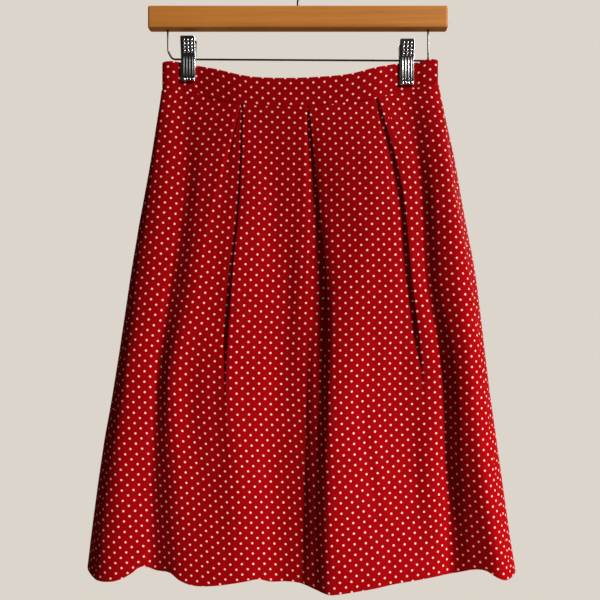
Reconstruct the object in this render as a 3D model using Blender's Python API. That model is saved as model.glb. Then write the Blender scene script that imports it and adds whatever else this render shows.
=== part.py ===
"""Pleated skirt hung by its waistband from a wooden clip hanger.

The origin is the inside top of the hook, where the hanger hangs. X runs to the right of the
front view, the front faces -Y and +Z is up.

The skirt is one closed loop of cloth at every level. LOOP holds that loop as short rows, one
for each ridge, fold edge, valley or crease, with its place at six levels from the waistband
seam to the hem. The three inverted pleats are real folds: at the seam each pleat edge turns
right back under the panel, and it opens out towards the hem as its turn angle falls.
"""

import math

import bmesh
import bpy
import numpy as np

# ---------------------------------------------------------------- driving dimensions, mm
CLOTH_T = 1.2          # wall of the crepe panels
BAND_T = 1.6           # waistband, two layers and its interfacing
SEAM_GAP = 0.3         # between neighbouring pieces
FOLD_R = (1.5, 1.1, 1.0, 1.0, 1.0, 1.0)  # centre line radius of a pleat edge, at the levels
HEM_DEPTH = 736.5      # lowest point of the hem below the hook
HEM_RISE = 14.0        # how much higher the hem hangs at the sides
HEM_LOW_X = 20.0       # where the hem is lowest
HEM_REACH = 230.0      # from there out to where the whole rise is reached
VIEW_FROM = 849.3      # the tables are read from a front view drawn from this far away
VIEW_X, VIEW_Z = 2.3, -403.1  # and from this x and z
VIEW_PLANE = 842.3     # distance at which that view is at full size

BAR_LENGTH, BAR_DEPTH, BAR_HEIGHT = 350.0, 14.0, 26.8
BAR_TOP = -60.0
BAR_EDGE = 2.4
HOOK_WIRE_R = 1.5
HOOK_R = 21.0          # centre line radius of the hook
HOOK_STEM_END = -75.5  # in its hole in the bar
WIRE_R = 1.1           # trapeze wire
LEG_TOP = -78.0
LEG_LEFT, LEG_RIGHT = -152.9, 152.4
WIRE_LEFT_Z, WIRE_RIGHT_Z = -120.9, -122.6
HOLE_PLAY = 0.35
CLIP_W = 16.8
CLIP_T = 1.0
BARREL_R, BARREL_BORE = 2.3, 1.45
BARREL_LENGTH = 15.0

# One row for each clip.
CLIPS = [
    # name,        x,      top,   pivot,  bottom
    ("clip_left", -128.4, -96.3, -121.0, -147.4),
    ("clip_right", 127.0, -99.8, -122.5, -151.6),
]

# Waistband, by x: its top edge and the seam below it.
WAIST = [
    # x,     top,    seam
    (-159.0, -124.8, -158.0),
    (-148.0, -123.8, -158.0),
    (-128.0, -126.8, -159.2),
    (-100.0, -132.6, -167.7),
    (-60.0, -142.7, -176.5),
    (-20.0, -145.3, -179.0),
    (20.0, -144.3, -177.6),
    (60.0, -140.5, -173.6),
    (95.0, -131.4, -168.0),
    (118.0, -126.0, -160.4),
    (140.0, -125.0, -155.6),
    (148.0, -123.0, -153.8),
    (154.0, -121.6, -152.6),
    (165.0, -122.6, -151.0),
]

# Waistband section: the front layer, then the back layer.
BAND_FRONT = [
    # x,     y
    (-159.0, 0.0),
    (-157.0, -2.2),
    (-148.0, -3.0),
    (-139.5, -1.3),
    (-128.0, -1.2),
    (-116.0, -1.3),
    (-96.0, -4.6),
    (-66.0, -8.0),
    (-35.0, -9.0),
    (2.0, -9.4),
    (50.0, -9.0),
    (91.0, -7.8),
    (106.0, -3.6),
    (117.0, -1.2),
    (128.0, -1.2),
    (138.5, -1.3),
    (146.0, -2.7),
    (156.0, -3.2),
    (162.2, -2.3),
    (164.0, 0.0),
]
BAND_BACK = [
    # x,     y
    (162.2, 2.3),
    (156.0, 3.2),
    (146.0, 2.7),
    (138.5, 1.3),
    (128.0, 1.2),
    (117.0, 1.2),
    (104.0, 4.2),
    (81.0, 7.6),
    (47.0, 9.0),
    (2.0, 9.4),
    (-42.0, 9.0),
    (-77.0, 7.6),
    (-102.0, 4.0),
    (-116.0, 1.2),
    (-128.0, 1.2),
    (-139.5, 1.3),
    (-148.0, 3.0),
    (-157.0, 2.2),
]

# Heights of the table levels, as shares of the way from the waistband seam to the hem.
LEVELS = (0.0, 0.2, 0.4, 0.6, 0.8, 1.0)

# The skirt's loop. x is where the front view shows the row, y its true depth (front is -).
# A row ending in "_edge" is a pleat's fold edge and carries the fold of PLEATS.
LOOP_FRONT = [
    # row,            x at the six levels,            y at the six levels
    ("seam_left", (-159, -174, -192, -209, -226, -237), (0, -4, -6, -7, -7, -7)),
    ("left_roll", (-156, -168, -185, -202, -217, -227), (-2.5, -8, -11.5, -14.5, -14, -13)),
    ("left_flat", (-147, -158, -173, -190, -205, -213), (-2.9, -9.7, -14, -17, -16, -15)),
    ("left_fall", (-139, -141, -156, -174, -178, -181), (-1.3, -6, -11, -14.5, -10.5, -8.5)),
    ("left_valley", (-128, -131, -148, -164, -168, -169), (-1.2, -4.2, -8.5, -10, -8.5, -5)),
    ("left_rise", (-116, -115, -129, -150, -148, -142), (-1.3, -10, -18.4, -19.8, -17.8, -16)),
    ("A_side_edge", (-66, -97, -119, -143, -138, -128), (-8, -11.5, -19.6, -20.8, -19, -18)),
    ("A_plateau", (-67.5, -88, -106, -127, -118, -110), (-2, -8.2, -17.2, -17, -17.4, -18.6)),
    ("A_underlay", (-64, -79, -94, -103, -98, -92), (-2.2, -9, -15.6, -18.6, -18.6, -19.2)),
    ("A_centre_edge", (-63.4, -68, -78, -84, -80, -74), (-8.4, -13, -20, -21.6, -20.6, -19)),
    ("A_ridge", (-60, -63, -72, -76, -66, -58), (-8.6, -13.4, -20.2, -20.8, -20, -17.8)),
    ("mid_crown", (-49, -51, -55, -58, -50, -44), (-8.8, -11.6, -17, -16.4, -16.2, -14.5)),
    ("mid_fall", (-28, -30, -30, -34, -34, -32), (-9, -7.6, -11, -10.8, -11, -11)),
    ("mid_hollow", (-14, -12, -13, -18, -20, -22), (-9.2, -7.8, -9.8, -9.6, -10.8, -10.6)),
    ("mid_step", (0, 0, -1, -3, -4, -8), (-9.3, -8.3, -12.6, -12.2, -12.8, -12.6)),
    ("B_left_edge", (10.2, 9, 10, 7, 5, 2), (-9.2, -8.8, -13.2, -13.8, -15.6, -15.2)),
    ("B_underlay", (12, 16, 20, 16, 12, 10), (-3, -6.6, -13, -15, -18.4, -18.2)),
    ("B_right_edge", (13.4, 24.5, 34.5, 28, 20, 19), (-9.2, -11.6, -21, -19, -22.6, -22.6)),
    ("B_ridge", (17, 30, 39, 36, 34.5, 35), (-9.2, -13.9, -23.6, -26.8, -31, -31.4)),
    ("right_roll", (26, 38, 50, 47, 47, 49), (-9.2, -16.2, -26.4, -28.2, -31.2, -32)),
    ("right_flat", (49, 63, 70, 62, 60, 62), (-9, -20.2, -27.2, -27, -28.8, -30.6)),
    ("right_crease", (70, 81, 88, 82, 84, 90), (-8.6, -21, -25.6, -20.8, -22.6, -26.5)),
    ("right_fall", (80, 95, 104, 96, 103, 110), (-8.2, -19.8, -23.2, -18.2, -17.6, -23)),
    ("C_centre_edge", (90, 106, 116, 116, 121, 124), (-7.8, -18.2, -20.6, -13.8, -13, -20.5)),
    ("C_underlay", (91.6, 114, 125, 131, 137, 142), (-1.6, -13.8, -17.4, -11.8, -11.4, -16.5)),
    ("C_side_edge", (93.2, 121, 133, 147, 150, 156), (-7.6, -18, -21.6, -13, -12.6, -13)),
    ("C_ridge", (97, 125, 138, 157, 160, 165), (-7, -17.9, -21.4, -13.2, -11.4, -10)),
    ("clip_bulge", (117, 137, 145, 165, 167, 171), (-1.2, -15.2, -18.4, -11.6, -7.4, -7)),
    ("right_valley", (133, 142, 150, 170, 174, 178), (-1.2, -13.6, -16.6, -10.6, -4.2, -4.6)),
    ("right_rise", (147, 159, 168, 185, 193, 212), (-2.8, -22, -25.6, -21.8, -16.8, -14.6)),
    ("right_crest", (157, 176, 188, 203, 216, 237), (-3.2, -23, -28.8, -25.4, -24.4, -21)),
    ("seam_right", (164, 183, 202, 216, 231, 249), (0, -8, -11, -10, -9, -9)),
]
LOOP_BACK = [
    # row,          x at the six levels,            y at the six levels
    ("side_right", (162.2, 186, 205, 219, 234, 251), (2.3, 4, 8, 11, 14, 16)),
    ("back_roll_r", (156, 167, 185, 201, 215, 230), (3.2, 11, 17, 22, 26, 29)),
    ("back_fold_r", (138.5, 147, 158, 170, 184, 195), (1.3, 9, 16.5, 22, 27, 30)),
    ("back_dip_r", (117, 123, 130, 137, 147, 154), (1.2, 8, 14, 18, 21, 22)),
    ("back_swell_r", (81, 86, 93, 100, 105, 109), (7.6, 13.5, 20, 27, 31, 33)),
    ("back_hollow_r", (47, 49, 51, 53, 56, 58), (9, 13, 18, 22, 25, 27)),
    ("back_middle", (2, 2, 2, 2, 2, 2), (9.4, 14, 21, 28, 31, 34)),
    ("back_hollow_l", (-42, -44, -47, -49, -51, -53), (9, 13, 18, 23, 27, 29)),
    ("back_swell_l", (-77, -79, -84, -88, -93, -100), (7.6, 13.5, 20, 26, 30, 33)),
    ("back_dip_l", (-116, -119, -126, -133, -140, -149), (1.2, 8, 14, 19, 22, 24)),
    ("back_fold_l", (-139.5, -142, -154, -165, -179, -191), (1.3, 9, 17, 23, 28, 31)),
    ("back_roll_l", (-149, -160, -177, -191, -207, -221), (2.8, 11, 18, 23, 27, 30)),
    ("side_left", (-157, -176, -195, -212, -230, -244), (2.2, 4.5, 9, 13, 16, 19)),
]

# The folds on the pleats' edges: how far the edge lies over the underlay, and how far the
# cloth turns back there (180 lies flat under the panel, under 90 is an open step).
PLEATS = {
    # edge:         overlap at the six levels,      turn at the six levels
    "A_side_edge": ((6, 2, 0.8, 0.6, 0.6, 0.6), (178, 40, 10, 3, 3, 3)),
    "A_centre_edge": ((8, 6, 3, 0.8, 0.6, 0.6), (180, 180, 150, 24, 3, 3)),
    "B_left_edge": ((6, 1.4, 0.8, 0.6, 0.6, 0.6), (178, 34, 12, 4, 3, 3)),
    "B_right_edge": ((8, 6, 3, 1, 0.6, 0.6), (180, 180, 140, 50, 6, 3)),
    "C_centre_edge": ((6, 2, 1, 0.8, 0.6, 0.6), (178, 56, 34, 14, 4, 3)),
    "C_side_edge": ((8, 6, 5, 0.8, 0.6, 0.6), (180, 180, 172, 26, 4, 3)),
}
EDGES_FACING_RIGHT = ("A_side_edge", "B_left_edge", "C_centre_edge")

# The hem as the front view shows it: x and z where the line of sight meets the bar's front.
HEM_SEEN = [
    # x,     z
    (-244.6, -717.1),
    (-240.2, -724.5),
    (-218.6, -730.8),
    (-197.7, -723.6),
    (-182.6, -713.0),
    (-162.8, -717.7),
    (-148.9, -720.5),
    (-138.4, -729.0),
    (-123.3, -735.0),
    (-102.3, -736.0),
    (-60.5, -730.8),
    (-45.9, -728.0),
    (-33.1, -730.4),
    (-11.6, -730.2),
    (3.5, -732.4),
    (18.6, -739.2),
    (36.1, -746.5),
    (45.4, -746.2),
    (87.2, -739.2),
    (111.6, -734.0),
    (146.5, -727.6),
    (182.6, -720.4),
    (217.5, -717.8),
    (231.4, -726.2),
    (241.9, -729.1),
    (252.4, -723.4),
]

BEND_STEPS = 4         # chords in each bend of a fold
OPEN_STEPS = 3         # pieces between two rows of the table
DOWN_STEPS = 11        # rows of wall from the seam to the hem
BAND_ROWS = 2
MM = 0.001


# ---------------------------------------------------------------- curves
def through(xs, ys, x):
    """A smooth curve through the points (xs, ys), read at x. Tangents are the mean slopes."""
    xs, ys = np.asarray(xs, float), np.asarray(ys, float)
    slopes = np.diff(ys) / np.diff(xs)
    tangent = np.concatenate([[slopes[0]], (slopes[1:] + slopes[:-1]) / 2, [slopes[-1]]])
    x = np.clip(x, xs[0], xs[-1])
    i = np.clip(np.searchsorted(xs, x, side="right") - 1, 0, len(xs) - 2)
    h = xs[i + 1] - xs[i]
    t = (x - xs[i]) / h
    return (
        (2 * t**3 - 3 * t**2 + 1) * ys[i]
        + (t**3 - 2 * t**2 + t) * h * tangent[i]
        + (3 * t**2 - 2 * t**3) * ys[i + 1]
        + (t**3 - t**2) * h * tangent[i + 1]
    )


def at_level(values, v):
    return float(through(LEVELS, values, v))


def true_x(seen, y):
    """Where a point at depth y really is, when the front view shows it at x = seen."""
    return VIEW_X + (seen - VIEW_X) * (VIEW_FROM + y) / VIEW_PLANE


def waist_top(x):
    rows = np.array(WAIST)
    return through(rows[:, 0], rows[:, 1], x)


def seam_z(x):
    rows = np.array(WAIST)
    return through(rows[:, 0], rows[:, 2], x)


def hem_z(x):
    return -HEM_DEPTH + HEM_RISE * ((x - HEM_LOW_X) / HEM_REACH) ** 2


def seen_hem_z(x, y):
    """The hem's true height at a point of the front."""
    rows = np.array(HEM_SEEN)
    share = (VIEW_FROM + y) / VIEW_PLANE
    seen = VIEW_X + (x - VIEW_X) / share
    return VIEW_Z + (through(rows[:, 0], rows[:, 1], seen) - VIEW_Z) * share


def fold(overlap, turn, radius, slope):
    """Centre line of one pleat edge that faces right, starting along +x: round the edge by
    the turn, back under the panel, and round again to run along +x. Its edge is at x = 0.
    As the pleat opens out, the stretch leans over to the slope of the cloth round it."""
    lean = slope * min(max(1 - turn / 60, 0), 1) ** 2
    turn = math.radians(turn)
    bend = math.pi * radius
    points, heading, x, y = [(0.0, 0.0)], 0.0, 0.0, 0.0
    for sign in (1, -1):
        for _ in range(BEND_STEPS):
            half = sign * turn / BEND_STEPS / 2
            # chord of an arc of this length and turn
            chord = bend / BEND_STEPS * (math.sin(half) / half)
            heading += half
            x, y = x + chord * math.cos(heading), y + chord * math.sin(heading)
            heading += half
            points.append((x, y))
        if sign == 1:
            run = max(overlap - 2 * radius, 0.6)
            x, y = x + run * math.cos(heading), y + run * math.sin(heading)
            points.append((x, y))
    edge = points[BEND_STEPS // 2][0]
    points = [(px - edge, py) for px, py in points]
    c, s = math.cos(lean), math.sin(lean)
    return [(c * px - s * py, s * px + c * py) for px, py in points]


def control_points(v):
    """The loop's control points at level v, front left to right and then back right to left,
    with a flag on each that starts a folded stretch."""
    points, folded = [], []
    rows = LOOP_FRONT + LOOP_BACK
    for place, (name, xs, ys) in enumerate(rows):
        y = at_level(ys, v)
        x = true_x(at_level(xs, v), y)
        if name in PLEATS:
            overlap, turn = (at_level(column, v) for column in PLEATS[name])
            (x0, y0), (x1, y1) = (
                [at_level(column, v) for column in rows[place + k][1:]] for k in (-1, 1)
            )
            slope = math.atan2(y1 - y0, max(x1 - x0, 1.0))
            slope = slope if name in EDGES_FACING_RIGHT else -slope
            shape = fold(overlap, turn, at_level(FOLD_R, v), slope)
            if name not in EDGES_FACING_RIGHT:
                shape = [(-px, py) for px, py in reversed(shape)]
            points += [(x + px, y + py) for px, py in shape]
            folded += [True] * (len(shape) - 1) + [False]
        else:
            points.append((x, y))
            folded.append(False)
    return np.array(points), folded


def loop_section(v, open_steps, fold_steps):
    """The loop at level v as a fine closed polyline, and the indices of its two side seams."""
    points, folded = control_points(v)
    count = len(points)
    fine, seams = [], []
    right_seam = count - len(LOOP_BACK) - 1
    for i in range(count):
        if i in (0, right_seam):
            seams.append(len(fine))
        p0, p1, p2, p3 = (points[(i + k) % count] for k in (-1, 0, 1, 2))
        # centripetal spacing keeps the curve from looping between near and far points
        d01, d12, d23 = (
            max(np.linalg.norm(b - a), 1e-6) ** 0.5 for a, b in ((p0, p1), (p1, p2), (p2, p3))
        )
        m1 = (p1 - p0) / d01 - (p2 - p0) / (d01 + d12) + (p2 - p1) / d12
        m2 = (p2 - p1) / d12 - (p3 - p1) / (d12 + d23) + (p3 - p2) / d23
        m1, m2 = m1 * d12, m2 * d12
        steps = fold_steps if folded[i] else open_steps
        for k in range(steps):
            t = k / steps
            fine.append(
                (2 * t**3 - 3 * t**2 + 1) * p1
                + (t**3 - 2 * t**2 + t) * m1
                + (3 * t**2 - 2 * t**3) * p2
                + (t**3 - t**2) * m2
            )
    return np.array(fine), seams


# ---------------------------------------------------------------- walls
def outward(section):
    """Unit normals of a closed section that runs front left to right, back right to left."""
    along = np.roll(section, -1, axis=0) - np.roll(section, 1, axis=0)
    along /= np.linalg.norm(along, axis=1)[:, None]
    return np.stack([along[:, 1], -along[:, 0]], axis=1)


def stretch(section, normals, start, end):
    """The part of a closed section from one seam to the next, stopped short of both."""
    count = len(section)
    index = [(start + k) % count for k in range((end - start) % count + 1)]
    part, normal = section[index].copy(), normals[index].copy()
    for tip, inner in ((0, 1), (-1, -2)):
        step = part[inner] - part[tip]
        part[tip] += step / np.linalg.norm(step) * SEAM_GAP / 2
    return part, normal


def wall(name, grid, normals, thickness, material):
    """A closed wall round a grid of centre points: rows from top to bottom, columns along."""
    rows, columns = grid.shape[:2]
    half = np.zeros_like(grid)
    half[..., :2] = normals * thickness / 2
    outer, inner = grid + half, grid - half
    mesh = bmesh.new()
    faces = []
    verts = [[[mesh.verts.new(p * MM) for p in row] for row in side] for side in (outer, inner)]
    out, inn = verts
    for r in range(rows - 1):
        for c in range(columns - 1):
            faces.append((out[r][c], out[r + 1][c], out[r + 1][c + 1], out[r][c + 1]))
            faces.append((inn[r][c], inn[r][c + 1], inn[r + 1][c + 1], inn[r + 1][c]))
    for c in range(columns - 1):
        faces.append((out[0][c], out[0][c + 1], inn[0][c + 1], inn[0][c]))
        faces.append((out[-1][c], inn[-1][c], inn[-1][c + 1], out[-1][c + 1]))
    for r in range(rows - 1):
        faces.append((out[r][0], inn[r][0], inn[r + 1][0], out[r + 1][0]))
        faces.append((out[r][-1], out[r + 1][-1], inn[r + 1][-1], inn[r][-1]))
    for face in faces:
        mesh.faces.new(face)
    return finish(name, mesh, material, smooth=60)


def finish(name, mesh, material, smooth=40):
    bmesh.ops.recalc_face_normals(mesh, faces=mesh.faces)
    data = bpy.data.meshes.new(name)
    mesh.to_mesh(data)
    mesh.free()
    data.materials.append(material)
    data.shade_smooth()
    data.set_sharp_from_angle(angle=math.radians(smooth))
    thing = bpy.data.objects.new(name, data)
    bpy.context.scene.collection.objects.link(thing)
    return thing


def panels(material_front, material_back):
    levels = [(k / DOWN_STEPS) ** 0.92 for k in range(DOWN_STEPS + 1)]
    parts = {"front_panel": ([], []), "back_panel": ([], [])}
    for v in levels:
        section, (left, right) = loop_section(v, OPEN_STEPS, 1)
        normals = outward(section)
        for name, start, end in (("front_panel", left, right), ("back_panel", right, left)):
            part, normal = stretch(section, normals, start, end)
            top = seam_z(part[:, 0]) - SEAM_GAP
            if name == "front_panel":
                low = seen_hem_z(part[:, 0], part[:, 1])
                right_low, left_low = low[-1], low[0]
            else:
                # the back's hem meets the front's at both seams
                low = hem_z(part[:, 0])
                t = np.linspace(0, 1, len(part))
                low += (right_low - low[0]) * np.exp(-t * 9)
                low += (left_low - low[-1]) * np.exp((t - 1) * 9)
            z = top + (low - top) * v
            parts[name][0].append(np.column_stack([part, z]))
            parts[name][1].append(normal)
    for name, material in (("front_panel", material_front), ("back_panel", material_back)):
        grid, normal = (np.array(a) for a in parts[name])
        wall(name, grid, normal, CLOTH_T, material)


def band_section(steps):
    """The waistband's closed section, as a fine polyline, and its two side seams."""
    points = np.array(BAND_FRONT + BAND_BACK, float)
    count, fine, seams = len(points), [], []
    for i in range(count):
        if i in (0, len(BAND_FRONT) - 1):
            seams.append(len(fine))
        p0, p1, p2, p3 = (points[(i + k) % count] for k in (-1, 0, 1, 2))
        d01, d12, d23 = (
            np.linalg.norm(b - a) ** 0.5 for a, b in ((p0, p1), (p1, p2), (p2, p3))
        )
        m1 = ((p1 - p0) / d01 - (p2 - p0) / (d01 + d12) + (p2 - p1) / d12) * d12
        m2 = ((p2 - p1) / d12 - (p3 - p1) / (d12 + d23) + (p3 - p2) / d23) * d12
        for k in range(steps):
            t = k / steps
            fine.append(
                (2 * t**3 - 3 * t**2 + 1) * p1
                + (t**3 - 2 * t**2 + t) * m1
                + (3 * t**2 - 2 * t**3) * p2
                + (t**3 - t**2) * m2
            )
    return np.array(fine), seams


def waistbands(material):
    section, (left, right) = band_section(3)
    normals = outward(section)
    for name, start, end in (("waistband_front", left, right), ("waistband_back", right, left)):
        part, normal = stretch(section, normals, start, end)
        top, bottom = waist_top(part[:, 0]), seam_z(part[:, 0]) + SEAM_GAP / 2
        grid = np.array(
            [
                np.column_stack([part, top + (bottom - top) * r / BAND_ROWS])
                for r in range(BAND_ROWS + 1)
            ]
        )
        wall(name, grid, np.array([normal] * len(grid)), BAND_T, material)


# ---------------------------------------------------------------- hanger
def colour(name, rgb, roughness, metallic=0.0):
    material = bpy.data.materials.new(name)
    material.use_nodes = True
    shader = material.node_tree.nodes["Principled BSDF"]
    shader.inputs["Base Color"].default_value = (*rgb, 1.0)
    shader.inputs["Roughness"].default_value = roughness
    shader.inputs["Metallic"].default_value = metallic
    material.diffuse_color = (*rgb, 1.0)
    return material


def tube(name, points, radius, material, resolution=3):
    """A round wire along the points, with closed ends."""
    curve = bpy.data.curves.new(name, "CURVE")
    curve.dimensions = "3D"
    curve.bevel_depth = radius * MM
    curve.bevel_resolution = resolution
    curve.use_fill_caps = True
    spline = curve.splines.new("POLY")
    spline.points.add(len(points) - 1)
    for point, place in zip(spline.points, points):
        point.co = (place[0] * MM, place[1] * MM, place[2] * MM, 1.0)
    curve.materials.append(material)
    thing = bpy.data.objects.new(name, curve)
    bpy.context.scene.collection.objects.link(thing)
    return thing


def bezier(p0, p1, p2, p3, steps):
    out = []
    for k in range(steps + 1):
        t = k / steps
        w = ((1 - t) ** 3, 3 * t * (1 - t) ** 2, 3 * t * t * (1 - t), t**3)
        out.append(tuple(sum(wi * p[a] for wi, p in zip(w, (p0, p1, p2, p3))) for a in (0, 1, 2)))
    return out


def hook_points():
    """Stem, swing out to the side and round over the top, down to the tip."""
    centre = -(HOOK_R - HOOK_WIRE_R)
    start = math.radians(-50)
    join = (HOOK_R * math.cos(start), 0, centre + HOOK_R * math.sin(start))
    tangent = (-math.sin(start), math.cos(start))
    points = [(0, 0, HOOK_STEM_END), (0, 0, -66), (0, 0, -58)]
    points += bezier(
        (0, 0, -54), (0, 0, -46), (join[0] - 8 * tangent[0], 0, join[2] - 8 * tangent[1]), join, 6
    )
    for degrees in range(-38, 206, 12):
        a = math.radians(degrees)
        points.append((HOOK_R * math.cos(a), 0, centre + HOOK_R * math.sin(a)))
    return points


def trapeze_points():
    """Down the left leg, along under the bar and up the right leg."""

    def corner(before, at, after, reach, steps=4):
        out = []
        a, b = np.array(before, float), np.array(after, float)
        c = np.array(at, float)
        a = c + (a - c) / np.linalg.norm(a - c) * reach
        b = c + (b - c) / np.linalg.norm(b - c) * reach
        for k in range(steps + 1):
            t = k / steps
            out.append(tuple((1 - t) ** 2 * a + 2 * t * (1 - t) * c + t * t * b))
        return out

    lt, rt = (LEG_LEFT, 0, LEG_TOP), (LEG_RIGHT, 0, LEG_TOP)
    lb = (LEG_LEFT + 0.6, 0, -112.0)
    lk = (LEG_LEFT + 5.6, 0, WIRE_LEFT_Z)
    rb = (LEG_RIGHT + 0.3, 0, WIRE_RIGHT_Z)
    points = [lt] + corner(lt, lb, lk, 3.5) + corner(lb, lk, rb, 3.5)
    points += [(0, 0, (WIRE_LEFT_Z + WIRE_RIGHT_Z) / 2)]
    points += corner(lk, rb, rt, 4.0) + [rt]
    return points


def cutter(name, x, low, high, radius):
    mesh = bmesh.new()
    bmesh.ops.create_cone(
        mesh, cap_ends=True, segments=20, radius1=radius * MM, radius2=radius * MM,
        depth=(high - low) * MM,
    )
    data = bpy.data.meshes.new(name)
    mesh.to_mesh(data)
    mesh.free()
    thing = bpy.data.objects.new(name, data)
    thing.location = (x * MM, 0, (low + high) / 2 * MM)
    thing.hide_render = True
    thing.display_type = "WIRE"
    bpy.context.scene.collection.objects.link(thing)
    return thing


def bar(material):
    mesh = bmesh.new()
    bmesh.ops.create_cube(mesh, size=1.0)
    for vert in mesh.verts:
        vert.co.x *= BAR_LENGTH * MM
        vert.co.y *= BAR_DEPTH * MM
        vert.co.z *= BAR_HEIGHT * MM
    bmesh.ops.bevel(
        mesh, geom=list(mesh.edges), offset=BAR_EDGE * MM, segments=3, profile=0.5,
        affect="EDGES",
    )
    thing = finish("hanger_bar", mesh, material)
    thing.location = (0, 0, (BAR_TOP - BAR_HEIGHT / 2) * MM)
    low = BAR_TOP - BAR_HEIGHT
    holes = [
        cutter("hole_hook", 0, HOOK_STEM_END - HOLE_PLAY, BAR_TOP + 5, HOOK_WIRE_R + HOLE_PLAY),
        cutter("hole_left", LEG_LEFT, low - 5, LEG_TOP + HOLE_PLAY, WIRE_R + HOLE_PLAY),
        cutter("hole_right", LEG_RIGHT, low - 5, LEG_TOP + HOLE_PLAY, WIRE_R + HOLE_PLAY),
    ]
    for hole in holes:
        cut = thing.modifiers.new(hole.name, "BOOLEAN")
        cut.operation = "DIFFERENCE"
        cut.object = hole
    return thing


def clip(name, x, top, pivot, bottom, material):
    """Two sprung plates on a barrel that the wire runs through. side is -1 for the front."""
    for part, side in (("front", -1), ("back", 1)):
        middle = (pivot + bottom) / 2
        # depth of the plate's middle, by height
        profile = [
            (9.2, top),
            (8.6, top - 3.0),
            (6.0, (top + pivot) / 2),
            (3.7, pivot + 4.0),
            (3.3, pivot),
            (3.5, pivot - 5.0),
            (4.1, middle),
            (3.7, bottom + 8.0),
            (2.85, bottom + 2.5),
            (3.3, bottom),
        ]
        line = np.array([(side * y, z) for y, z in profile])
        along = np.gradient(line, axis=0)
        along /= np.linalg.norm(along, axis=1)[:, None]
        normal = np.stack([-along[:, 1], along[:, 0]], axis=1) * CLIP_T / 2
        ring = np.concatenate([line + normal, (line - normal)[::-1]])
        mesh = bmesh.new()
        ends = [
            [mesh.verts.new(((x + s * CLIP_W / 2) * MM, y * MM, z * MM)) for y, z in ring]
            for s in (-1, 1)
        ]
        count, half = len(ring), len(line)
        for k in range(count):
            n = (k + 1) % count
            mesh.faces.new((ends[0][k], ends[0][n], ends[1][n], ends[1][k]))
        for end in ends:
            for k in range(half - 1):
                mesh.faces.new((end[k], end[k + 1], end[count - 2 - k], end[count - 1 - k]))
        finish(f"{name}_{part}", mesh, material)
    mesh = bmesh.new()
    sides = 16
    rings = []
    for radius, end in (
        (BARREL_R, -1), (BARREL_R, 1), (BARREL_BORE, 1), (BARREL_BORE, -1)
    ):
        rings.append(
            [
                mesh.verts.new(
                    (
                        (x + end * BARREL_LENGTH / 2) * MM,
                        radius * math.cos(2 * math.pi * k / sides) * MM,
                        (pivot + radius * math.sin(2 * math.pi * k / sides)) * MM,
                    )
                )
                for k in range(sides)
            ]
        )
    for r in range(4):
        a, b = rings[r], rings[(r + 1) % 4]
        for k in range(sides):
            n = (k + 1) % sides
            mesh.faces.new((a[k], a[n], b[n], b[k]))
    finish(f"{name}_barrel", mesh, material)


def main():
    for thing in list(bpy.data.objects):
        bpy.data.objects.remove(thing)
    crepe = [
        colour(f"crepe_{part}", (0.36, 0.002, 0.006), 0.85)
        for part in ("front", "back", "band")
    ]
    panels(crepe[0], crepe[1])
    waistbands(crepe[2])
    bar(colour("oiled_wood", (0.47, 0.21, 0.06), 0.5))
    steel = colour("bright_steel", (0.62, 0.61, 0.6), 0.22, 1.0)
    tube("hook", hook_points(), HOOK_WIRE_R, steel)
    tube("trapeze_wire", trapeze_points(), WIRE_R, steel, 2)
    chrome = colour("chromed_steel", (0.72, 0.72, 0.72), 0.12, 1.0)
    for name, x, top, pivot, bottom in CLIPS:
        clip(name, x, top, pivot, bottom, chrome)


main()
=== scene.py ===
"""The looks of the pleated skirt on its clip hanger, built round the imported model.

Everything is worked out in millimetres in the part's own frame and put in the scene in metres.
The skirt's sections are the construction's own, read much more finely, with its creases added.
"""

import math

import bmesh
import bpy
import numpy as np
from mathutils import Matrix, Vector, noise


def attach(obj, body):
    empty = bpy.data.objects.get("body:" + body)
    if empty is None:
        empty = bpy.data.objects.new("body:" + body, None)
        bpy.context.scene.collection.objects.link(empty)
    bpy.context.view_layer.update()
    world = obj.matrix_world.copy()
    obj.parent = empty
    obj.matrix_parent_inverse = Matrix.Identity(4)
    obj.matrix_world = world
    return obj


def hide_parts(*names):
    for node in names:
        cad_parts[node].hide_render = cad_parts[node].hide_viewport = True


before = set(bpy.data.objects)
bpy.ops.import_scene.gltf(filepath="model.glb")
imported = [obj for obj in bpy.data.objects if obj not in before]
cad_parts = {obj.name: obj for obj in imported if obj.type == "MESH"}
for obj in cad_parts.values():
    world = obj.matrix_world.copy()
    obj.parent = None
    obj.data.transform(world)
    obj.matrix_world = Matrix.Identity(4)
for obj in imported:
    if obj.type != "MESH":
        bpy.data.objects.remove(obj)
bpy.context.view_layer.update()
MM = 0.001

# ---------------------------------------------------------------- sizes, mm
CLOTH_T = 0.5
BAND_T = 1.0
FOLD_R = 0.4
HEM_DEPTH, HEM_RISE, HEM_LOW_X, HEM_REACH = 736.5, 14.0, 20.0, 230.0
VIEW_FROM, VIEW_X, VIEW_Z, VIEW_PLANE = 849.3, 2.3, -403.1, 842.3

# Waistband, by x: its top edge and the seam below it.
WAIST = [
    # x,     top,    seam
    (-159.0, -124.8, -158.0),
    (-148.0, -123.8, -158.0),
    (-128.0, -126.8, -159.2),
    (-100.0, -132.6, -167.7),
    (-60.0, -142.7, -176.5),
    (-20.0, -145.3, -179.0),
    (20.0, -144.3, -177.6),
    (60.0, -140.5, -173.6),
    (95.0, -131.4, -168.0),
    (118.0, -126.0, -160.4),
    (140.0, -125.0, -155.6),
    (148.0, -123.0, -153.8),
    (154.0, -121.6, -152.6),
    (165.0, -122.6, -151.0),
]

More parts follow.
